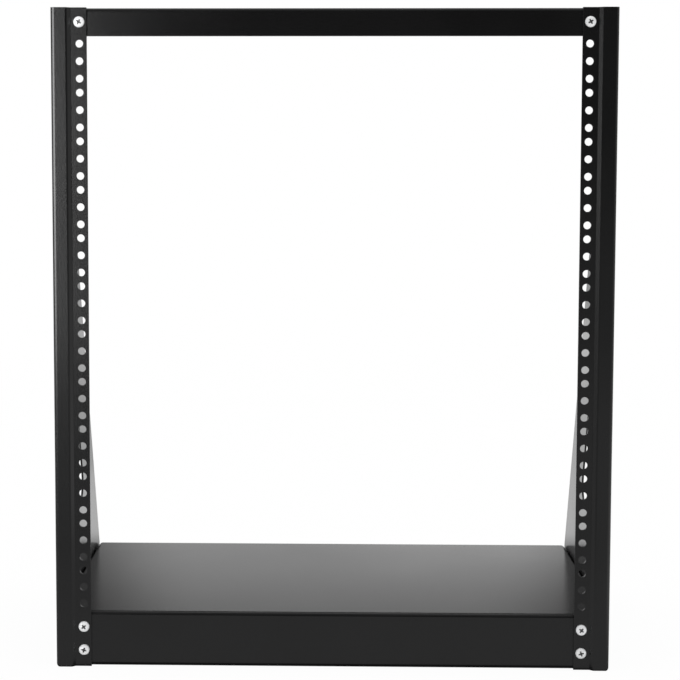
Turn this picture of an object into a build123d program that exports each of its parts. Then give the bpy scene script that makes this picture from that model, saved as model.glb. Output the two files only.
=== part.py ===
from build123d import *
import math
import os

# Two post open frame rack, twelve units high, that stands on a desk or shelf.
# Each upright is one bent sheet: a perforated flange, a small step forward to a plain band,
# and a side plate that tapers from the full depth at the base to a narrow head.
# An angle joins the uprights at the top and a folded deck joins them at the base.
# Millimetres. Origin: centre of the footprint, on the floor. +X right, +Y rearward, +Z up.

# Standard mounting pattern
rack_units = 12
unit_pitch = 44.45
unit_hole_heights = (6.35, 22.225, 38.1)
column_spacing = 465.1
rack_hole_diameter = 7.1

# Uprights, widths measured outward from the hole column
upright_sheet = 2.0
upright_inside_bend = 1.5
flange_inner_margin = 6.75
flange_outer_margin = 8.0
joggle_run = 3.4
joggle_step = 3.0
joggle_inside_bend = 0.6
band_width = 14.65
overall_depth = 305.0
head_depth = 45.0
plate_corner_radius = 6.0
foot_width = 18.0
foot_front_gap = 2.5
foot_rear_gap = 3.0

# Window in each side plate
window_border = 73.0
window_corner_radius = 18.0

# Base deck
deck_height = 52.0
deck_sheet = 1.5
deck_inside_bend = 2.0
deck_side_clearance = 0.5
deck_return = 16.0
deck_side_lip = 44.0
deck_foot_clearance = 1.0

# Top crossbar
bar_height = 25.4
bar_depth = 22.0
bar_sheet = 1.5
bar_inside_bend = 1.5
bar_end_clearance = 0.5

# Room above and below the mounting pattern
deck_to_units = 1.45
units_to_bar = 0.5
bar_to_top = 0.55

# Assembly screws: clearance holes in the outer sheet, tapped holes in the inner one
screw_clearance_diameter = 5.4
screw_tapped_diameter = 4.2
base_screw_heights = (16.0, 38.1)
side_screw_height = 26.0
side_screw_setback = 30.0
side_screw_spacing = 110.0

# Length by which a cutter passes each face that it cuts
overcut = 1.0

# Derived places
column_x = column_spacing / 2
flange_edge_x = column_x - flange_inner_margin
joggle_foot_x = column_x + flange_outer_margin
joggle_crest_x = joggle_foot_x + joggle_run
outer_x = joggle_crest_x + band_width
inner_x = outer_x - upright_sheet

front_y = -overall_depth / 2
rear_y = overall_depth / 2
flange_y = front_y + joggle_step
seat_y = flange_y + upright_sheet
head_y = front_y + head_depth

first_unit_z = deck_height + deck_to_units
bar_bottom_z = first_unit_z + rack_units * unit_pitch + units_to_bar
bar_middle_z = bar_bottom_z + bar_height / 2
top_z = bar_bottom_z + bar_height + bar_to_top

upright_outside_bend = upright_inside_bend + upright_sheet
deck_outside_bend = deck_inside_bend + deck_sheet
foot_edge_x = outer_x - foot_width
foot_front_y = seat_y + deck_sheet + foot_front_gap
foot_rear_y = rear_y - foot_rear_gap

rack_hole_heights = [
    first_unit_z + unit * unit_pitch + height
    for unit in range(rack_units)
    for height in unit_hole_heights
]
side_screw_places = [
    (rear_y - side_screw_setback - step * side_screw_spacing, side_screw_height)
    for step in range(2)
]


def moved_sideways(points, distance):
    """The same open path moved to its left, with its corners still sharp."""
    moved = []
    for index, point in enumerate(points):
        ways = []
        if index > 0:
            ways.append((point - points[index - 1]).normalized())
        if index < len(points) - 1:
            ways.append((points[index + 1] - point).normalized())
        normals = [Vector(-way.Y, way.X) for way in ways]
        total = sum(normals[1:], normals[0])
        moved.append(point + total * (distance * len(normals) / total.length**2))
    return moved


def bent_sheet(path, thickness, inside_bends):
    """Section of a bent sheet that lies to the left of the path, with one inside radius a bend."""
    near = [Vector(*place) for place in path]
    far = moved_sideways(near, thickness)
    near_radii = []
    far_radii = []
    for index, inside in enumerate(inside_bends):
        before = near[index + 1] - near[index]
        after = near[index + 2] - near[index + 1]
        turns_left = before.cross(after).Z > 0
        near_radii.append(inside + thickness if turns_left else inside)
        far_radii.append(inside if turns_left else inside + thickness)
    near_side = FilletPolyline(*near, radius=near_radii)
    far_side = FilletPolyline(*far, radius=far_radii)
    ends = [Line(near[0], far[0]), Line(near[-1], far[-1])]
    return make_face(Wire.combine([*near_side.edges(), *far_side.edges(), *ends])[0])


def across(face, low_x, high_x):
    """Solid whose section lies in the side view, drawn as (y, z), between two places in X."""
    return extrude(Plane.YZ.offset(low_x) * face, high_x - low_x)


def along(face, low_y, high_y):
    """Solid whose section lies in the front view, drawn as (x, z), between two places in Y."""
    plane = Plane(origin=(0, low_y, 0), x_dir=(1, 0, 0), z_dir=(0, -1, 0))
    return extrude(plane * face, low_y - high_y)


def box_between(low, high):
    """Solid box between two corners."""
    size = [b - a for a, b in zip(low, high)]
    middle = [(a + b) / 2 for a, b in zip(low, high)]
    return Pos(*middle) * Box(*size)


def holes_along_y(places, diameter, low_y, high_y):
    """Round cutters along Y at (x, z) places."""
    length = high_y - low_y
    turn = Rot(90, 0, 0)
    return [
        Pos(x, (low_y + high_y) / 2, z) * turn * Cylinder(diameter / 2, length)
        for x, z in places
    ]


def holes_along_x(places, diameter, low_x, high_x):
    """Round cutters along X at (y, z) places."""
    length = high_x - low_x
    turn = Rot(0, 90, 0)
    return [
        Pos((low_x + high_x) / 2, y, z) * turn * Cylinder(diameter / 2, length)
        for y, z in places
    ]


def side_outline():
    """Side view of an upright: full depth up to the deck, then a straight taper to the head."""
    return Polyline(
        (front_y, 0),
        (rear_y, 0),
        (rear_y, deck_height),
        (head_y, top_z),
        (front_y, top_z),
        close=True,
    )


def window_outline():
    """Rounded triangle that keeps one even border to the front, to the taper and to the deck."""
    lean = math.atan2(rear_y - head_y, top_z - deck_height)
    low_z = deck_height + window_border
    front = front_y + window_border
    sill_y = rear_y - window_border * math.tan(lean) - window_border / math.cos(lean)
    peak_z = low_z + (sill_y - front) / math.tan(lean)
    triangle = make_face(Polyline((front, low_z), (sill_y, low_z), (front, peak_z), close=True))
    return fillet(triangle.vertices(), window_corner_radius)


def right_upright():
    """One bent and perforated sheet: flange, joggle, band, side plate and foot."""
    plan = bent_sheet(
        [
            (flange_edge_x, flange_y),
            (joggle_foot_x, flange_y),
            (joggle_crest_x, front_y),
            (outer_x, front_y),
            (outer_x, rear_y),
        ],
        upright_sheet,
        [joggle_inside_bend, joggle_inside_bend, upright_inside_bend],
    )
    upright = extrude(plan, top_z)

    outline = make_face(side_outline())
    corners = outline.vertices().filter_by(lambda corner: corner.Y >= deck_height and corner.X > front_y)
    outline = fillet(corners, plate_corner_radius)
    upright &= across(outline, flange_edge_x - overcut, outer_x + overcut)
    upright -= across(window_outline(), inner_x - overcut, outer_x + overcut)

    # The plate's lower edge turns inward as a foot, and the front corners are rounded to match
    silhouette = make_face(
        Polyline((flange_edge_x, 0), (outer_x, 0), (outer_x, top_z), (flange_edge_x, top_z), close=True)
    )
    heel = silhouette.vertices().filter_by(lambda corner: corner.X > column_x and corner.Y < column_x)
    silhouette = fillet(heel, upright_outside_bend)
    upright &= along(silhouette, front_y - overcut, rear_y + overcut)
    foot = bent_sheet(
        [(foot_edge_x, 0), (outer_x, 0), (outer_x, foot_width)],
        upright_sheet,
        [upright_inside_bend],
    )
    upright -= box_between(
        (joggle_foot_x, foot_front_y, -overcut),
        (outer_x + overcut, rear_y + overcut, foot_width),
    )
    upright += along(foot, foot_front_y, foot_rear_y)
    heel_plate = make_face(
        Polyline(
            (foot_rear_y, upright_outside_bend),
            (rear_y, upright_outside_bend),
            (rear_y, foot_width),
            (foot_rear_y, foot_width),
            close=True,
        )
    )
    upright += across(heel_plate, inner_x, outer_x)

    flange_span = (front_y - overcut, seat_y + overcut)
    plate_span = (inner_x - overcut, outer_x + overcut)
    rack_places = [(column_x, z) for z in rack_hole_heights]
    screw_places = [(column_x, z) for z in (*base_screw_heights, bar_middle_z)]
    upright -= holes_along_y(rack_places, rack_hole_diameter, *flange_span)
    upright -= holes_along_y(screw_places, screw_clearance_diameter, *flange_span)
    upright -= holes_along_x(side_screw_places, screw_clearance_diameter, *plate_span)
    return upright


def crossbar():
    """Angle behind the flanges: an upright face and a top flange that points to the rear."""
    half = inner_x - bar_end_clearance
    top = bar_bottom_z + bar_height
    section = bent_sheet(
        [(seat_y + bar_depth, top), (seat_y, top), (seat_y, bar_bottom_z)],
        bar_sheet,
        [bar_inside_bend],
    )
    bar = across(section, -half, half)
    places = [(side * column_x, bar_middle_z) for side in (-1, 1)]
    bar -= holes_along_y(places, screw_tapped_diameter, seat_y - overcut, seat_y + bar_depth)
    return bar


def base_deck():
    """Folded deck: lips to the floor in front and behind with returns, and shorter side lips."""
    half = inner_x - deck_side_clearance
    fold_half = half - deck_outside_bend
    lengthwise = bent_sheet(
        [
            (rear_y - deck_return, 0),
            (rear_y, 0),
            (rear_y, deck_height),
            (seat_y, deck_height),
            (seat_y, 0),
            (seat_y + deck_return, 0),
        ],
        deck_sheet,
        [deck_inside_bend] * 4,
    )
    deck = across(lengthwise, -fold_half, fold_half)

    # The returns stop beside the feet of the uprights
    return_half = foot_edge_x - deck_foot_clearance
    for side in (-1, 1):
        near, far = sorted((side * return_half, side * (half + overcut)))
        for low_y, high_y in (
            (seat_y + deck_sheet, seat_y + deck_return + overcut),
            (rear_y - deck_return - overcut, rear_y - deck_sheet),
        ):
            deck -= box_between((near, low_y, -overcut), (far, high_y, deck_outside_bend))

    crosswise = bent_sheet(
        [
            (half, deck_height - deck_side_lip),
            (half, deck_height),
            (-half, deck_height),
            (-half, deck_height - deck_side_lip),
        ],
        deck_sheet,
        [deck_inside_bend] * 2,
    )
    deck += along(crosswise, seat_y + deck_outside_bend, rear_y - deck_outside_bend)

    front_places = [(side * column_x, z) for side in (-1, 1) for z in base_screw_heights]
    lip_span = (seat_y - overcut, seat_y + deck_sheet + overcut)
    deck -= holes_along_y(front_places, screw_tapped_diameter, *lip_span)
    for side in (-1, 1):
        low_x, high_x = sorted((side * (half - deck_sheet - overcut), side * (half + overcut)))
        deck -= holes_along_x(side_screw_places, screw_tapped_diameter, low_x, high_x)
    return deck


def main():
    """Write one file for each piece."""
    os.makedirs("parts", exist_ok=True)
    right = right_upright()
    pieces = {
        "left_upright": mirror(right, Plane.YZ),
        "right_upright": right,
        "top_crossbar": crossbar(),
        "base_deck": base_deck(),
    }
    for node, piece in pieces.items():
        export_step(piece, f"parts/{node}.step")


main()
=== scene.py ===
"""Finishes, fasteners and studio for the two post open frame rack.

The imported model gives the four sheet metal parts. This file coats them with black powder coat,
adds the zinc plated screws and nuts that hold them together, and sets up a plain pale studio.
Lengths are metres in the model's own frame: +X right, +Y rearward, +Z up, origin on the floor
under the middle of the rack.
"""

from __future__ import annotations

import logging
import math
from dataclasses import dataclass
from enum import Enum
from typing import Iterable

import bmesh
import bpy
from mathutils import Matrix, Vector


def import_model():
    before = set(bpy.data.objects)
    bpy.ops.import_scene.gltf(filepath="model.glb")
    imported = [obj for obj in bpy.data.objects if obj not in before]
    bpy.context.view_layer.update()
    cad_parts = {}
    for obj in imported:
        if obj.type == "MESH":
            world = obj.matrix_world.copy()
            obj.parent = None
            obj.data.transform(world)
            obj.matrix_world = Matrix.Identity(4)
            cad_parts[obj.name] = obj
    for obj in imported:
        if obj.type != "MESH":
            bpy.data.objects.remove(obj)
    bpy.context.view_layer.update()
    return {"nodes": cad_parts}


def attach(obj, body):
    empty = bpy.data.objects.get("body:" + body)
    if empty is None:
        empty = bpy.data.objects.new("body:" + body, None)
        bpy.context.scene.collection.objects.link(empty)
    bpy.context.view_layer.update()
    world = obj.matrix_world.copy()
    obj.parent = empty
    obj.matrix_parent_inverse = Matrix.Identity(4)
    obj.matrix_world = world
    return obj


LOG = logging.getLogger("rack")
MM = 0.001
WHITE = (1.0, 1.0, 1.0, 1.0)
HEX_SIDES = 6
MERGE_DISTANCE = 1e-7

# Beam of a lamp that has no grid, in degrees
OPEN_BEAM = 180.0

# Sockets of the colour mix node, whose names repeat: its share, colours and result
MIX_SHARE, MIX_FIRST, MIX_SECOND, MIX_RESULT = 0, 6, 7, 2

Pair = tuple[float, float]
Triple = tuple[float, float, float]
Profile = Iterable[Pair]
Socket = bpy.types.NodeSocket
Value = float | Socket


class Body(Enum):
    """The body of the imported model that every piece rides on."""

    RACK = "root"


class Slot(Enum):
    """A record material slot named for the pieces that this file adds; nothing in this script gives
    it to them.
    """

    ZINC = "bright_zinc_screws"


class SheetPart(Enum):
    """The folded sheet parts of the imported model."""

    LEFT_UPRIGHT = "left_upright"
    RIGHT_UPRIGHT = "right_upright"
    TOP_CROSSBAR = "top_crossbar"
    BASE_DECK = "base_deck"


class Facing(Enum):
    """The way in which a screw head looks, as the direction out of the sheet."""

    FRONT = (0.0, -1.0, 0.0)
    LEFT = (-1.0, 0.0, 0.0)
    RIGHT = (1.0, 0.0, 0.0)

    @property
    def outward(self) -> Vector:
        """The unit vector out of the sheet."""
        return Vector(self.value)


class Course(Enum):
    """How a value runs from one end of its range to the other."""

    SMOOTH = "SMOOTHSTEP"
    STRAIGHT = "LINEAR"


@dataclass(frozen=True)
class Fade:
    """A value that runs from one level to another while a factor crosses a range."""

    start: float
    end: float
    at: Pair = (0.3, 0.7)
    course: Course = Course.SMOOTH


@dataclass(frozen=True)
class Noise:
    """A layer of noise: the length of its waves, about, and its octaves."""

    pitch: float
    octaves: float
    roughness: float = 0.55


@dataclass(frozen=True)
class Relief:
    """A layer of fine relief: its height and how strongly it shows."""

    height: float
    strength: float


class NodeSheet:
    """Adds and links the shader nodes of one material or world."""

    def __init__(self, tree: bpy.types.NodeTree) -> None:
        """Start from an empty tree.

        Args:
            tree: The node tree to fill.
        """
        self.tree = tree
        tree.nodes.clear()

    def add(
        self, kind: str, values: dict[str | int, object] | None = None, **settings: object
    ) -> bpy.types.Node:
        """Add a node.

        Args:
            kind: The node's type name.
            values: A value or an output for each input, by the input's name or number.
            **settings: Properties of the node.

        Returns:
            The new node.
        """
        node = self.tree.nodes.new(kind)
        for name, setting in settings.items():
            setattr(node, name, setting)
        for key, value in (values or {}).items():
            if isinstance(value, Socket):
                self.tree.links.new(value, node.inputs[key])
            else:
                node.inputs[key].default_value = value
        return node

    def axes(self, vector: Socket) -> tuple[Socket, ...]:
        """Split a vector into its X, Y and Z."""
        return tuple(self.add("ShaderNodeSeparateXYZ", {"Vector": vector}).outputs)

    def noise(self, place: Socket, layer: Noise) -> Socket:
        """Add a noise pattern.

        Args:
            place: The coordinates that the pattern reads.
            layer: The pattern's size and detail.

        Returns:
            The pattern's factor output.
        """
        values = {
            "Vector": place,
            "Scale": 1 / layer.pitch,
            "Detail": layer.octaves,
            "Roughness": layer.roughness,
        }
        return self.add("ShaderNodeTexNoise", values).outputs["Fac"]

    def spread(self, factor: Socket, fade: Fade) -> Socket:
        """Map a factor to a range of values.

        Args:
            factor: The factor to map.
            fade: The values, and where on the factor they begin and end.

        Returns:
            The mapped value's output.
        """
        values = {
            "Value": factor,
            "From Min": fade.at[0],
            "From Max": fade.at[1],
            "To Min": fade.start,
            "To Max": fade.end,
        }
        node = self.add("ShaderNodeMapRange", values, interpolation_type=fade.course.value)
        return node.outputs["Result"]

    def compute(self, operation: str, first: Value, second: Value = 0.0) -> Socket:
        """Combine two values or outputs.

        Args:
            operation: The operation's name.
            first: A number or an output.
            second: A number or an output, left at zero where the operation takes only one.

        Returns:
            The result's output.
        """
        node = self.add("ShaderNodeMath", {0: first, 1: second}, operation=operation)
        return node.outputs["Value"]

    def product(self, first: Value, *others: Value) -> Value:
        """Multiply any number of values and outputs.

        Args:
            first: A number or an output.
            *others: More of them.

        Returns:
            The result's output.
        """
        for other in others:
            first = self.compute("MULTIPLY", first, other)
        return first

    def blended(self, share: Value, first: Triple | Socket, second: Triple | Socket) -> Socket:
        """Mix two colours.

        Args:
            share: The share of the second colour.
            first: A colour or an output.
            second: A colour or an output.

        Returns:
            The mixed colour's output.
        """
        values = {MIX_SHARE: share}
        for socket, colour in ((MIX_FIRST, first), (MIX_SECOND, second)):
            values[socket] = colour if isinstance(colour, Socket) else (*colour, 1.0)
        return self.add("ShaderNodeMix", values, data_type="RGBA").outputs[MIX_RESULT]

    def bump(self, pattern: Socket, relief: Relief, normal: Socket | None = None) -> Socket:
        """Add fine relief to a surface.

        Args:
            pattern: The relief's pattern.
            relief: The relief's height and strength.
            normal: The surface's normal, where it isn't the mesh's own.

        Returns:
            The new normal's output.
        """
        values = {"Strength": relief.strength, "Distance": relief.height, "Height": pattern}
        if normal is not None:
            values["Normal"] = normal
        return self.add("ShaderNodeBump", values).outputs["Normal"]

    def glow(self, strength: Value, kind: str = "ShaderNodeEmission") -> Socket:
        """Add white light of some strength, from a surface or as a world's background."""
        return self.add(kind, {"Color": WHITE, "Strength": strength}).outputs[0]

    def mixed(self, share: Value, first: Socket, second: Socket) -> Socket:
        """Mix two shaders by the share of the second."""
        return self.add("ShaderNodeMixShader", {0: share, 1: first, 2: second}).outputs[0]

    def finish(self, shader: Socket, kind: str = "ShaderNodeOutputMaterial") -> None:
        """Link a shader to the tree's output node."""
        self.add(kind, {"Surface": shader})


def new_material(name: str) -> tuple[bpy.types.Material, NodeSheet]:
    """Make a material.

    Args:
        name: The material's name.

    Returns:
        The material, and the empty sheet of its nodes.
    """
    material = bpy.data.materials.new(name)
    material.use_nodes = True
    return material, NodeSheet(material.node_tree)


@dataclass(frozen=True)
class PowderCoat:
    """Matt black powder coat with a fine, slightly uneven texture, thinner on its edges."""

    name: str = "black powder coat"
    film_dark: Triple = (0.0026, 0.0026, 0.0027)
    film_light: Triple = (0.0042, 0.0042, 0.0044)
    film_fade: Fade = Fade(0.0, 1.0)
    thin_edge: Triple = (0.030, 0.030, 0.031)
    roughness: Fade = Fade(0.20, 0.22)
    specular_level: float = 0.50
    grain: Noise = Noise(0.55 * MM, 2.0)
    grain_relief: Relief = Relief(0.030 * MM, 0.6)
    flow: Noise = Noise(2.6 * MM, 1.0)
    flow_relief: Relief = Relief(0.045 * MM, 0.5)
    patches: Noise = Noise(130 * MM, 3.0)
    edge_radius: float = 0.45 * MM
    edge_samples: int = 4
    edge_fade: Fade = Fade(1.0, 0.0, (0.80, 0.985))

    def build(self) -> bpy.types.Material:
        """Make the material.

        Returns:
            The powder coat's material.
        """
        material, sheet = new_material(self.name)
        place = sheet.add("ShaderNodeTexCoord").outputs["Object"]
        grain = sheet.noise(place, self.grain)
        flow = sheet.noise(place, self.flow)
        patches = sheet.noise(place, self.patches)
        film = sheet.blended(sheet.spread(patches, self.film_fade), self.film_dark, self.film_light)

        radius = {"Radius": self.edge_radius}
        rounded = sheet.add("ShaderNodeBevel", radius, samples=self.edge_samples).outputs["Normal"]
        flat = sheet.add("ShaderNodeNewGeometry").outputs["True Normal"]
        alike = sheet.add("ShaderNodeVectorMath", {0: rounded, 1: flat}, operation="DOT_PRODUCT")
        edge = sheet.spread(alike.outputs["Value"], self.edge_fade)

        normal = sheet.bump(flow, self.flow_relief, rounded)
        normal = sheet.bump(grain, self.grain_relief, normal)
        values = {
            "Base Color": sheet.blended(edge, film, self.thin_edge),
            "Roughness": sheet.spread(patches, self.roughness),
            "Specular IOR Level": self.specular_level,
            "Normal": normal,
        }
        sheet.finish(sheet.add("ShaderNodeBsdfPrincipled", values).outputs["BSDF"])
        return material


@dataclass(frozen=True)
class ZincPlate:
    """Bright zinc plate on steel, faintly clouded, with painted shade darkening its recesses and
    thread.
    """

    name: str = "bright zinc plate"
    clear: Triple = (0.965, 0.97, 0.975)
    clouded: Triple = (0.86, 0.87, 0.88)
    cloud_fade: Fade = Fade(0.0, 1.0)
    # Painted shade: the dark colour that ambient occlusion mixes in where the recess and the thread
    # roots are shaded
    recess_shade: Triple = (0.16, 0.16, 0.16)
    recess_shade_reach: float = 3.0 * MM
    recess_shade_samples: int = 8
    recess_shade_fade: Fade = Fade(0.0, 1.0, (0.30, 0.92))
    metallic: float = 0.30
    roughness: Fade = Fade(0.34, 0.46)
    clouds: Noise = Noise(2.2 * MM, 3.0)
    scratches: Noise = Noise(0.28 * MM, 2.0)
    scratch_relief: Relief = Relief(0.008 * MM, 0.4)

    def build(self) -> bpy.types.Material:
        """Make the material.

        Returns:
            The zinc plate's material.
        """
        material, sheet = new_material(self.name)
        place = sheet.add("ShaderNodeTexCoord").outputs["Object"]
        clouds = sheet.noise(place, self.clouds)
        scratches = sheet.noise(place, self.scratches)
        plate = sheet.blended(sheet.spread(clouds, self.cloud_fade), self.clear, self.clouded)
        # Painted shade: ambient occlusion darkens the plate's colour in the cross recess and
        # between the thread's turns
        recess = sheet.add(
            "ShaderNodeAmbientOcclusion",
            {"Distance": self.recess_shade_reach},
            samples=self.recess_shade_samples,
            only_local=True,
        )
        openness = sheet.spread(recess.outputs["AO"], self.recess_shade_fade)
        values = {
            "Base Color": sheet.blended(openness, self.recess_shade, plate),
            "Metallic": self.metallic,
            "Roughness": sheet.spread(clouds, self.roughness),
            "Normal": sheet.bump(scratches, self.scratch_relief),
        }
        sheet.finish(sheet.add("ShaderNodeBsdfPrincipled", values).outputs["BSDF"])
        return material


def mesh_of(form: bmesh.types.BMesh, name: str) -> bpy.types.Mesh:
    """Turn a form under construction into a mesh, and free it.

    Args:
        form: The form.
        name: The mesh's name.

    Returns:
        The new mesh.
    """
    data = bpy.data.meshes.new(name)
    form.to_mesh(data)
    form.free()
    return data


def linked(name: str, data: bpy.types.ID) -> bpy.types.Object:
    """Make an object.

    Args:
        name: The object's name.
        data: Its mesh, lamp or camera.

    Returns:
        The new object, linked to the scene.
    """
    made = bpy.data.objects.new(name, data)
    bpy.context.scene.collection.objects.link(made)
    return made


def carved(body: bpy.types.Object, tool: bpy.types.Object, operation: str) -> bpy.types.Mesh:
    """Combine two objects into a mesh, and remove them.

    Args:
        body: The object that keeps its outside.
        tool: The object that cuts or bounds it.
        operation: DIFFERENCE or INTERSECT.

    Returns:
        The combined mesh.
    """
    cut = body.modifiers.new("cut", "BOOLEAN")
    cut.operation = operation
    cut.solver = "EXACT"
    cut.object = tool
    bpy.context.view_layer.update()
    graph = bpy.context.evaluated_depsgraph_get()
    made = bpy.data.meshes.new_from_object(body.evaluated_get(graph))
    for used in (body, tool):
        bpy.data.objects.remove(used)
    return made


def softened(data: bpy.types.Mesh, sharp: float) -> bpy.types.Mesh:
    """Shade a mesh smooth, apart from edges sharper than an angle.

    Args:
        data: The mesh.
        sharp: The least angle of a sharp edge, in degrees.

    Returns:
        The same mesh.
    """
    data.polygons.foreach_set("use_smooth", [True] * len(data.polygons))
    data.set_sharp_from_angle(angle=math.radians(sharp))
    return data


class Form:
    """A mesh under construction, made with bmesh operators round the Z axis."""

    def __init__(self) -> None:
        """Start with an empty mesh."""
        self.mesh = bmesh.new()

    def turn(self, profile: Profile, steps: int) -> Form:
        """Spin a profile through a full turn round Z.

        Args:
            profile: Radius and height of each point, from one pole or edge to the other.
            steps: Steps in the full turn.

        Returns:
            This form.
        """
        points = [self.mesh.verts.new((radius, 0.0, height)) for radius, height in profile]
        edges = [self.mesh.edges.new(pair) for pair in zip(points, points[1:])]
        bmesh.ops.spin(
            self.mesh,
            geom=points + edges,
            cent=(0, 0, 0),
            axis=(0, 0, 1),
            angle=math.tau,
            steps=steps,
            use_merge=True,
        )
        bmesh.ops.remove_doubles(self.mesh, verts=self.mesh.verts, dist=MERGE_DISTANCE)
        bmesh.ops.recalc_face_normals(self.mesh, faces=self.mesh.faces)
        return self

    def coil(self, profile: Profile, pitch: float, turns: float, steps: int) -> Form:
        """Sweep a small closed profile along a helix round Z, downwards.

        Args:
            profile: Radius and height of each corner of the section.
            pitch: Height of one turn.
            turns: Number of turns.
            steps: Steps in one turn.

        Returns:
            This form.
        """
        points = [self.mesh.verts.new((radius, 0.0, height)) for radius, height in profile]
        section = self.mesh.faces.new(points)
        bmesh.ops.spin(
            self.mesh,
            geom=[section, *section.edges, *points],
            cent=(0, 0, 0),
            axis=(0, 0, 1),
            dvec=(0, 0, -pitch / steps),
            angle=math.tau * turns,
            steps=round(turns * steps),
        )
        bmesh.ops.recalc_face_normals(self.mesh, faces=self.mesh.faces)
        return self

    def prism(self, sides: int, radius: float, low: float, high: float) -> Form:
        """Add a closed prism round Z.

        Args:
            sides: Number of its sides.
            radius: Radius of its corners.
            low: Height of its lower face.
            high: Height of its upper face.

        Returns:
            This form.
        """
        bmesh.ops.create_cone(
            self.mesh,
            cap_ends=True,
            segments=sides,
            radius1=radius,
            radius2=radius,
            depth=high - low,
            matrix=Matrix.Translation((0, 0, (low + high) / 2)),
        )
        return self

    def wing(self, size: Pair, taper: float, span: Pair, angle: float) -> Form:
        """Add one tapered wing pair of a cross recess.

        Args:
            size: Length and width at its mouth.
            taper: Size at the bottom as a share of the mouth's.
            span: Heights of the bottom and the mouth.
            angle: Turn round Z, in radians.

        Returns:
            This form.
        """
        low, high = span
        middle = (low + high) / 2
        place = Matrix.Rotation(angle, 4, "Z") @ Matrix.Translation((0, 0, middle))
        stretch = Matrix.Diagonal((*size, high - low, 1))
        made = bmesh.ops.create_cube(self.mesh, size=1.0, matrix=place @ stretch)
        bottom = [vert for vert in made["verts"] if vert.co.z < middle]
        bmesh.ops.scale(self.mesh, vec=(taper, taper, 1.0), verts=bottom)
        return self

    def finish(self, name: str) -> bpy.types.Object:
        """Turn the form into an object."""
        return linked(name, mesh_of(self.mesh, name))


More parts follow.
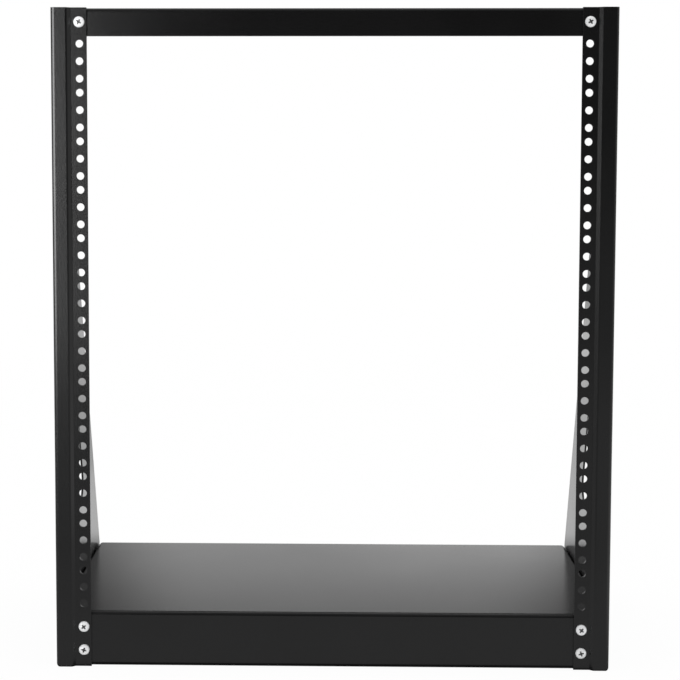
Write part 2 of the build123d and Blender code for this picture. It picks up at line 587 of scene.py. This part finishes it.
@dataclass(frozen=True)
class PanScrew:
    """A cross recessed pan head screw, M5, with its hex nut behind the sheets.

    The crown's angles are degrees above the rim. The rim's bulge, the core's foot and the
    thread's root and crest are shares of the rim's round, the core's radius and the pitch.
    """

    head_diameter: float = 10.0 * MM
    head_height: float = 3.6 * MM
    head_wall: float = 1.35 * MM
    head_steps: int = 48
    rim_round: float = 0.45 * MM
    rim_bulge: Pair = (0.25, 0.3)
    crown_angles: tuple[float, ...] = (8, 18, 29, 40, 52, 64, 77)
    crown_fullness: float = 0.86
    recess_span: float = 5.8 * MM
    recess_wing: float = 1.5 * MM
    recess_core: float = 3.4 * MM
    recess_core_foot: float = 0.35
    recess_core_steps: int = 16
    recess_depth: float = 2.9 * MM
    recess_taper: float = 0.46
    recess_overcut: float = 0.4 * MM
    length: float = 12.0 * MM
    shank_diameter: float = 4.0 * MM
    shank_overlap: float = 0.3 * MM
    shank_steps: int = 24
    tip_chamfer: float = 0.5 * MM
    thread_diameter: float = 4.9 * MM
    thread_pitch: float = 0.8 * MM
    thread_root: float = 0.38
    thread_crest: float = 0.06
    thread_sink: float = 0.1 * MM
    thread_start: float = 0.9 * MM
    thread_ends: float = 2.0 * MM
    thread_steps: int = 20
    nut_across_flats: float = 8.0 * MM
    nut_height: float = 4.0 * MM
    nut_chamfer: float = 0.45 * MM
    nut_bore: float = 5.0 * MM
    bore_steps: int = 24
    bore_overcut: float = 1.0 * MM

    def head_profile(self) -> list[Pair]:
        """Half section of the head, from the bearing face round to the crown.

        Returns:
            Radius and height of each point, with the bearing face at height 0.
        """
        rim = self.head_diameter / 2
        small = self.rim_round
        bulge_in, bulge_up = self.rim_bulge
        foot = [
            (0.0, 0.0),
            (rim - small, 0.0),
            (rim - bulge_in * small, bulge_up * small),
            (rim, small),
        ]
        rise = self.head_height - self.head_wall
        crown = [
            (rim * math.cos(turn), self.head_wall + rise * math.sin(turn) ** self.crown_fullness)
            for turn in map(math.radians, self.crown_angles)
        ]
        return [*foot, *crown, (0.0, self.head_height)]

    def build_head(self) -> bpy.types.Mesh:
        """Make the head with its cross recess.

        Returns:
            The head's mesh, with its bearing face on the XY plane and its crown towards +Z.
        """
        low = self.head_height - self.recess_depth
        high = self.head_height + self.recess_overcut
        core = self.recess_core / 2
        foot = self.recess_core_foot * core
        wing = (self.recess_span, self.recess_wing)
        cutters = [
            Form().wing(wing, self.recess_taper, (low, high), 0.0),
            Form().wing(wing, self.recess_taper, (low, high), math.pi / 2),
            Form().turn(
                [(0.0, low), (foot, low), (core, high), (0.0, high)], self.recess_core_steps
            ),
        ]
        head = Form().turn(self.head_profile(), self.head_steps).finish("head")
        for cutter in cutters:
            head = linked("head", carved(head, cutter.finish("cutter"), "DIFFERENCE"))
        data = head.data
        bpy.data.objects.remove(head)
        return data

    def build_shank(self) -> bpy.types.Mesh:
        """Make the threaded shank below the head.

        Returns:
            The shank's mesh, from the bearing face towards -Z.
        """
        core = self.shank_diameter / 2
        crest = self.thread_diameter / 2
        sunk = core - self.thread_sink
        tip = self.tip_chamfer
        outline = [
            (0.0, self.shank_overlap),
            (core, self.shank_overlap),
            (core, tip - self.length),
            (core - tip, -self.length),
            (0.0, -self.length),
        ]
        half_root = self.thread_root * self.thread_pitch
        half_crest = self.thread_crest * self.thread_pitch
        ridge = [(sunk, -half_root), (crest, -half_crest), (crest, half_crest), (sunk, half_root)]
        turns = (self.length - self.thread_ends) / self.thread_pitch
        form = Form().turn(outline, self.shank_steps)
        form.coil(
            [(radius, height - self.thread_start) for radius, height in ridge],
            self.thread_pitch,
            turns,
            self.thread_steps,
        )
        return mesh_of(form.mesh, "shank")

    def build_nut(self) -> bpy.types.Mesh:
        """Make the hex nut, chamfered on both faces.

        Returns:
            The nut's mesh, from the XY plane towards -Z.
        """
        corner = self.nut_across_flats / math.sqrt(3)
        half = self.nut_across_flats / 2
        height = self.nut_height
        slope = self.nut_chamfer
        over = self.bore_overcut
        block = Form().prism(HEX_SIDES, corner, -height, 0.0).finish("block")
        outline = [
            (0.0, 0.0),
            (half, 0.0),
            (corner, -slope),
            (corner, slope - height),
            (half, -height),
            (0.0, -height),
        ]
        bound = Form().turn(outline, self.head_steps).finish("bound")
        blank = linked("blank", carved(block, bound, "INTERSECT"))
        bore = Form().prism(self.bore_steps, self.nut_bore / 2, -height - over, over).finish("bore")
        return carved(blank, bore, "DIFFERENCE")


@dataclass(frozen=True)
class Joint:
    """One place where a screw holds two sheets together, with the turn of its recess."""

    name: str
    place: Triple
    facing: Facing
    grip: float
    turn: float


@dataclass(frozen=True)
class Fasteners:
    """Every screw and nut of the rack, in metres from the model's named sizes.

    Turns and smoothing angles are degrees.
    """

    column_x: float = 232.55 * MM
    flange_y: float = -149.5 * MM
    outer_x: float = 258.6 * MM
    top_screw_z: float = 600.05 * MM
    base_screw_z: Pair = (16.0 * MM, 38.1 * MM)
    side_screw_z: float = 26.0 * MM
    side_screw_y: Pair = (122.5 * MM, 12.5 * MM)
    front_grip: float = 3.5 * MM
    side_grip: float = 4.0 * MM
    front_turns: Triple = (17, 52, 31)
    side_turns: Pair = (38, 8)
    screw_sharp: float = 32.0
    nut_sharp: float = 24.0
    screw: PanScrew = PanScrew()

    def joints(self) -> list[Joint]:
        """List the screws: three in front and two at the side of each upright.

        Returns:
            One joint for each screw.
        """
        levels = ("base_low", "base_high", "top")
        heights = (*self.base_screw_z, self.top_screw_z)
        found = []
        for side, word, facing in ((-1, "left", Facing.LEFT), (1, "right", Facing.RIGHT)):
            for level, z, turn in zip(levels, heights, self.front_turns):
                name = f"{word}_{level}"
                place = (side * self.column_x, self.flange_y, z)
                found.append(Joint(name, place, Facing.FRONT, self.front_grip, side * turn))
            for end, y, turn in zip(("rear", "middle"), self.side_screw_y, self.side_turns):
                name = f"{word}_side_{end}"
                place = (side * self.outer_x, y, self.side_screw_z)
                found.append(Joint(name, place, facing, self.side_grip, side * turn))
        return found

    def build(self, zinc: bpy.types.Material) -> list[bpy.types.Object]:
        """Make every screw and nut.

        Args:
            zinc: The zinc plate's material.

        Returns:
            The new pieces.
        """
        head = softened(self.screw.build_head(), self.screw_sharp)
        shank = softened(self.screw.build_shank(), self.screw_sharp)
        nut = softened(self.screw.build_nut(), self.nut_sharp)
        pieces = []
        for joint in self.joints():
            aim = joint.facing.outward.to_track_quat("Z", "Y").to_matrix().to_4x4()
            turn = Matrix.Rotation(math.radians(joint.turn), 4, "Z")
            spot = Matrix.Translation(joint.place) @ aim @ turn
            pieces.append(self.placed(f"screw_{joint.name}", [head, shank], spot, zinc))
            behind = spot @ Matrix.Translation((0, 0, -joint.grip))
            pieces.append(self.placed(f"nut_{joint.name}", [nut], behind, zinc))
        for used in (head, shank, nut):
            bpy.data.meshes.remove(used)
        return pieces

    def placed(
        self, name: str, meshes: list[bpy.types.Mesh], spot: Matrix, finish: bpy.types.Material
    ) -> bpy.types.Object:
        """Join meshes into one piece at its place in the rack.

        Args:
            name: The piece's name.
            meshes: The meshes to join.
            spot: Where the piece goes.
            finish: The piece's material.

        Returns:
            The piece, riding on the rack, with its place in its mesh.
        """
        joined = bmesh.new()
        for mesh in meshes:
            joined.from_mesh(mesh)
        bmesh.ops.transform(joined, matrix=spot, verts=joined.verts)
        data = mesh_of(joined, name)
        data.materials.clear()
        data.materials.append(finish)
        piece = linked(name, data)
        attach(piece, Body.RACK.value)
        return piece


@dataclass(frozen=True)
class SheetParts:
    """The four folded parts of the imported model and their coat."""

    coat: PowderCoat = PowderCoat()

    def dress(self, nodes: dict[str, bpy.types.Object]) -> None:
        """Give every folded part the powder coat.

        Args:
            nodes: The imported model's objects by name.
        """
        material = self.coat.build()
        for part in SheetPart:
            node = nodes[part.value]
            if not node.material_slots:
                node.data.materials.append(material)
            for slot in node.material_slots:
                slot.material = material
            LOG.info("%s: coated, %d faces", part.value, len(node.data.polygons))


@dataclass(frozen=True)
class Lamp:
    """One soft rectangular lamp, with a grid in front of it that may narrow its beam."""

    name: str
    place: Triple
    target: Triple
    width: float
    height: float
    radiance: float
    beam: float = OPEN_BEAM

    def build(self) -> bpy.types.Object:
        """Make the lamp, which the camera doesn't see.

        Returns:
            The lamp's object.
        """
        data = bpy.data.lights.new(self.name, "AREA")
        data.shape = "RECTANGLE"
        data.size = self.width
        data.size_y = self.height
        data.energy = self.radiance * math.pi * self.width * self.height
        if self.beam < OPEN_BEAM:
            half = math.radians(self.beam) / 2
            data.spread = 2 * half
            data.energy *= 1 - half / math.tan(half)
        lamp = linked(self.name, data)
        way = Vector(self.target) - Vector(self.place)
        aim = way.to_track_quat("-Z", "Y").to_matrix().to_4x4()
        lamp.matrix_world = Matrix.Translation(self.place) @ aim
        lamp.visible_camera = False
        return lamp


@dataclass(frozen=True)
class StripBank:
    """A curved bank of gridded strip lamps that light the left upright alone.

    Each strip has its azimuth from the front to the left, its radiance and its beam, with the
    angles in degrees. The bank curves round its middle, given as X and Y.
    """

    middle: Pair = (-0.27, -0.15)
    radius: float = 1.5
    height: float = 0.86
    lamp_z: float = 0.58
    target_z: float = 0.55
    step: float = 8.0
    strips: tuple[Triple, ...] = (
        (14.8, 8.5, 24.0),
        (22.5, 14.0, 24.0),
        (30.5, 14.0, 24.0),
        (38.5, 14.0, 24.0),
        (46.5, 14.0, 22.0),
        (54.5, 13.0, 20.0),
        (62.5, 10.0, 14.0),
        (70.5, 4.0, 12.0),
        (78.5, 3.0, 12.0),
    )

    def lamps(self) -> list[Lamp]:
        """List the strips.

        Returns:
            One lamp for each strip.
        """
        x, y = self.middle
        target = (x, y, self.target_z)
        width = 2 * self.radius * math.tan(math.radians(self.step) / 2)
        found = []
        for azimuth, radiance, beam in self.strips:
            turn = math.radians(azimuth)
            left, front = self.radius * math.sin(turn), self.radius * math.cos(turn)
            place = (x - left, y - front, self.lamp_z)
            name = f"strip at {azimuth:.0f}"
            found.append(Lamp(name, place, target, width, self.height, radiance, beam))
        return found


@dataclass(frozen=True)
class Floor:
    """Pale floor that fades out with distance, and that reflections see in a light of its own.

    The footprint and the contact are half sizes in X and Y. Inside the footprint the camera sees
    the floor's true shade. Reflections see the floor glow with painted light and shadow: half as
    bright up to a little behind the rack, dimmer far in front, brighter to the right, and with a
    painted contact shadow inside the contact.
    """

    radius: float = 3.2
    segments: int = 96
    colour: Triple = (0.90, 0.90, 0.90)
    distance_fade: Fade = Fade(0.0, 1.0, (1.1, 2.9))
    white_share: float = 0.955
    footprint: Pair = (0.250, 0.139)
    footprint_blend: float = 0.006
    contact: Pair = (0.2586, 0.1525)
    contact_blend: float = 0.005
    contact_shadow: float = 0.85
    rearward: Fade = Fade(0.50, 1.0, (0.36, 0.46))
    forward: Fade = Fade(0.66, 1.0, (-0.95, -0.20))
    rightward: Fade = Fade(1.0, 2.0, (0.28, 0.50))

    def build(self) -> bpy.types.Object:
        """Make the floor.

        Returns:
            The floor's object.
        """
        disc = bmesh.new()
        bmesh.ops.create_circle(disc, cap_ends=True, segments=self.segments, radius=self.radius)
        data = mesh_of(disc, "floor")
        data.materials.append(self.finish())
        floor = linked("floor", data)
        return floor

    def finish(self) -> bpy.types.Material:
        """Make the floor's material.

        Returns:
            A pale matt material that keeps a soft shadow and fades out with distance.
        """
        material, sheet = new_material("pale floor")
        place = sheet.add("ShaderNodeTexCoord").outputs["Object"]
        x, y, _ = sheet.axes(place)
        path = sheet.add("ShaderNodeLightPath").outputs

        inside = self.within(sheet, (x, y), self.footprint, self.footprint_blend)
        shaded = sheet.product(self.white_share, inside)
        share = sheet.compute("SUBTRACT", self.white_share, shaded)
        matt = sheet.add("ShaderNodeBsdfDiffuse", {"Color": (*self.colour, 1.0)}).outputs["BSDF"]
        whitened = sheet.product(path["Is Camera Ray"], share)
        seen = sheet.mixed(whitened, matt, sheet.glow(1.0))

        # Painted contact shadow: reflections see the floor darkened inside the contact, round the
        # rack's foot
        beside = self.within(sheet, (x, y), self.contact, self.contact_blend)
        # Painted light and shadow: the glow that reflections see is half as bright up to a little
        # behind the rack, dimmer far in front and brighter to the right
        lit = sheet.product(
            sheet.spread(y, self.rearward),
            sheet.spread(y, self.forward),
            sheet.spread(x, self.rightward),
            sheet.compute("SUBTRACT", 1.0, sheet.product(self.contact_shadow, beside)),
        )
        shown = sheet.mixed(path["Is Glossy Ray"], seen, sheet.glow(lit))

        distance = sheet.add("ShaderNodeVectorMath", {0: place}, operation="LENGTH")
        fade = sheet.spread(distance.outputs["Value"], self.distance_fade)
        nothing = sheet.add("ShaderNodeBsdfTransparent").outputs["BSDF"]
        sheet.finish(sheet.mixed(fade, shown, nothing))
        return material

    @staticmethod
    def within(sheet: NodeSheet, axes: Iterable[Socket], reach: Pair, blend: float) -> Socket:
        """Mark a rectangle round the origin.

        Args:
            sheet: The sheet to add nodes to.
            axes: The outputs of X and Y.
            reach: Half of the rectangle's size in X and Y.
            blend: Width of its soft border.

        Returns:
            An output that is 1 inside and 0 outside.
        """
        shares = []
        for axis, half in zip(axes, reach):
            away = sheet.compute("ABSOLUTE", axis)
            shares.append(sheet.spread(away, Fade(1.0, 0.0, (half, half + blend))))
        return sheet.product(*shares)


@dataclass(frozen=True)
class Card:
    """Lit card behind the rack, which shows in reflections alone.

    Its light fades upwards, downwards and to both sides along leaning lines, has a brighter pool
    low on the right, and is dimmer in double reflections.
    """

    y: float = 0.90
    size: Pair = (2.4, 0.9)
    upward: Fade = Fade(1.0, 0.13, (0.205, 0.465), Course.STRAIGHT)
    downward: Fade = Fade(0.78, 1.0, (0.10, 0.20))
    left_lean: float = -0.50
    leftward: Fade = Fade(0.27, 1.0, (-0.535, -0.350))
    right_lean: float = 0.75
    rightward: Fade = Fade(1.0, 0.30, (0.475, 0.605))
    pool_across: Fade = Fade(0.0, 0.28, (-0.05, 0.14))
    pool_up: Fade = Fade(1.0, -0.35, (0.215, 0.260))
    doubled: Fade = Fade(1.0, 0.42, (1.0, 2.0), Course.STRAIGHT)

    def build(self) -> bpy.types.Object:
        """Make the card.

        Returns:
            The card's object.
        """
        width, height = self.size
        half = width / 2
        corners = [(-half, 0.0), (half, 0.0), (half, height), (-half, height)]
        form = bmesh.new()
        form.faces.new([form.verts.new((x, self.y, z)) for x, z in corners])
        data = mesh_of(form, "card behind")
        data.materials.append(self.finish())
        card = linked("card behind", data)
        card.visible_camera = False
        card.visible_diffuse = False
        card.visible_transmission = False
        card.visible_shadow = False
        return card

    def finish(self) -> bpy.types.Material:
        """Make the card's material.

        Returns:
            The material, white light of uneven strength.
        """
        material, sheet = new_material("lit card")
        x, _, z = sheet.axes(sheet.add("ShaderNodeTexCoord").outputs["Object"])
        left_place = sheet.compute("ADD", x, sheet.product(z, self.left_lean))
        right_place = sheet.compute("ADD", x, sheet.product(z, self.right_lean))
        pool = sheet.product(sheet.spread(x, self.pool_across), sheet.spread(z, self.pool_up))
        bounces = sheet.add("ShaderNodeLightPath").outputs["Glossy Depth"]
        lit = sheet.product(
            sheet.spread(z, self.upward),
            sheet.spread(z, self.downward),
            sheet.spread(left_place, self.leftward),
            sheet.spread(right_place, self.rightward),
            sheet.compute("ADD", 1.0, pool),
            sheet.spread(bounces, self.doubled),
        )
        sheet.finish(sheet.glow(lit))
        return material


@dataclass(frozen=True)
class Surroundings:
    """White to look at, with a soft fill, and dimmer in reflections than it looks.

    Reflections see a lit backdrop to the rear, a darker room to the front and a pale ceiling.
    """

    fill: float = 1.00
    rearward: Fade = Fade(0.0, 1.0, (-0.90, 0.0))
    room: Fade = Fade(0.34, 0.045, (-0.10, 0.04))
    backdrop: Fade = Fade(1.0, 0.13, (0.185, 0.36))
    leftward: Fade = Fade(0.40, 1.0, (-0.18, 0.03))
    rightward: Fade = Fade(1.0, 0.70, (0.08, 0.18))
    ceiling: Fade = Fade(0.0, 0.23, (0.25, 0.55))

    def build(self) -> bpy.types.World:
        """Make the world and give it to the scene.

        Returns:
            The world.
        """
        world = bpy.data.worlds.new("studio")
        world.use_nodes = True
        sheet = NodeSheet(world.node_tree)
        light = "ShaderNodeBackground"
        x, y, z = sheet.axes(sheet.add("ShaderNodeTexCoord").outputs["Generated"])
        room = sheet.spread(z, self.room)
        sides = sheet.product(sheet.spread(x, self.leftward), sheet.spread(x, self.rightward))
        backdrop = sheet.product(sheet.spread(z, self.backdrop), sides)
        change = sheet.compute("SUBTRACT", backdrop, room)
        around = sheet.compute("ADD", sheet.product(sheet.spread(y, self.rearward), change), room)
        mirrored = sheet.compute("ADD", around, sheet.spread(z, self.ceiling))

        path = sheet.add("ShaderNodeLightPath").outputs
        filled, lit = sheet.glow(self.fill, light), sheet.glow(mirrored, light)
        unseen = sheet.mixed(path["Is Glossy Ray"], filled, lit)
        clear = sheet.compute("MAXIMUM", path["Is Camera Ray"], path["Is Transmission Ray"])
        sheet.finish(sheet.mixed(clear, unseen, sheet.glow(1.0, light)), "ShaderNodeOutputWorld")
        bpy.context.scene.world = world
        return world


@dataclass(frozen=True)
class View:
    """The camera at the photograph's viewing angle, with its turns in radians."""

    lens: float = 94.224
    sensor: float = 36.0
    shift: Pair = (0.07985, -0.04934)
    place: Triple = (-0.00470, -1.78477, 0.47995)
    pitch: float = 0.08526
    yaw: float = 0.02374
    roll: float = 0.00118

    def build(self) -> bpy.types.Object:
        """Make the camera and give it to the scene.

        Returns:
            The camera's object.
        """
        data = bpy.data.cameras.new("camera")
        data.sensor_fit = "HORIZONTAL"
        data.sensor_width = self.sensor
        data.lens = self.lens
        data.shift_x, data.shift_y = self.shift
        data.dof.use_dof = False
        camera = linked("camera", data)
        turned = (
            Matrix.Rotation(self.yaw, 4, "Z")
            @ Matrix.Rotation(math.pi / 2 - self.pitch, 4, "X")
            @ Matrix.Rotation(self.roll, 4, "Z")
        )
        camera.matrix_world = Matrix.Translation(self.place) @ turned
        bpy.context.scene.camera = camera
        return camera


@dataclass(frozen=True)
class Studio:
    """The floor, the card, the surroundings, the lamps and the camera."""

    floor: Floor = Floor()
    card: Card = Card()
    surroundings: Surroundings = Surroundings()
    top_lamp: Lamp = Lamp("soft top", (0.0, 0.1, 2.6), (0.0, 0.0, 0.3), 1.8, 1.4, 0.9)
    bank: StripBank = StripBank()
    view: View = View()

    def build(self) -> None:
        """Make the whole studio."""
        self.floor.build()
        self.card.build()
        self.surroundings.build()
        for lamp in (self.top_lamp, *self.bank.lamps()):
            lamp.build()
        self.view.build()
        bpy.context.scene.view_settings.view_transform = "Standard"


def main() -> None:
    """Build the studio, coat the folded parts and add the fasteners."""
    logging.basicConfig(level=logging.INFO, format="%(name)s: %(message)s")
    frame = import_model()
    Studio().build()
    SheetParts().dress(frame["nodes"])
    for piece in Fasteners().build(ZincPlate().build()):
        LOG.info("%s: %d faces", piece.name, len(piece.data.polygons))


if __name__ == "__main__":
    main()
